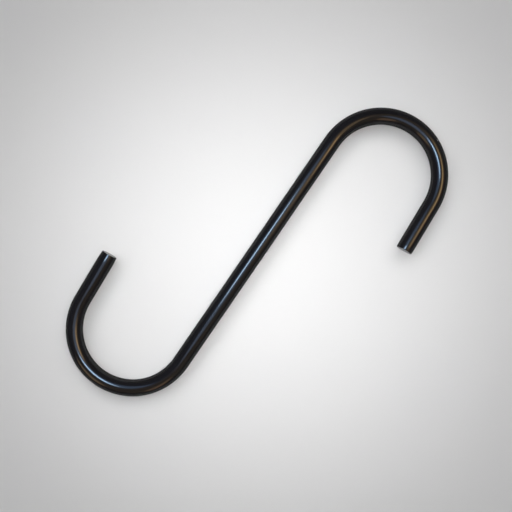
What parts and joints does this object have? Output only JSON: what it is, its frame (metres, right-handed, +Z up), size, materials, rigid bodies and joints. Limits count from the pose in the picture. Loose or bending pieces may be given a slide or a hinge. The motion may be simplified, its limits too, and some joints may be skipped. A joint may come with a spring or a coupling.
{
  "type": "s hook",
  "caption": "S hook bent from one length of round steel bar, gloss black, with open round hooks facing opposite ways and short straight tips.",
  "frame": {"origin": "under the middle of the shank, on the surface that the hook lies on", "axes": "+X along the shank towards the hook that bends to -Y, +Z up from the surface, so the plane of the S is level"},
  "size_m": [0.1524, 0.0976, 0.0064],
  "materials": {
    "black_enamel": "smooth gloss black enamel over a cold-drawn steel bar, lightly orange-peeled, thinner over the sheared ends"
  },
  "bodies": {
    "root": {"hook": "black_enamel"}
  },
  "joints": []
}
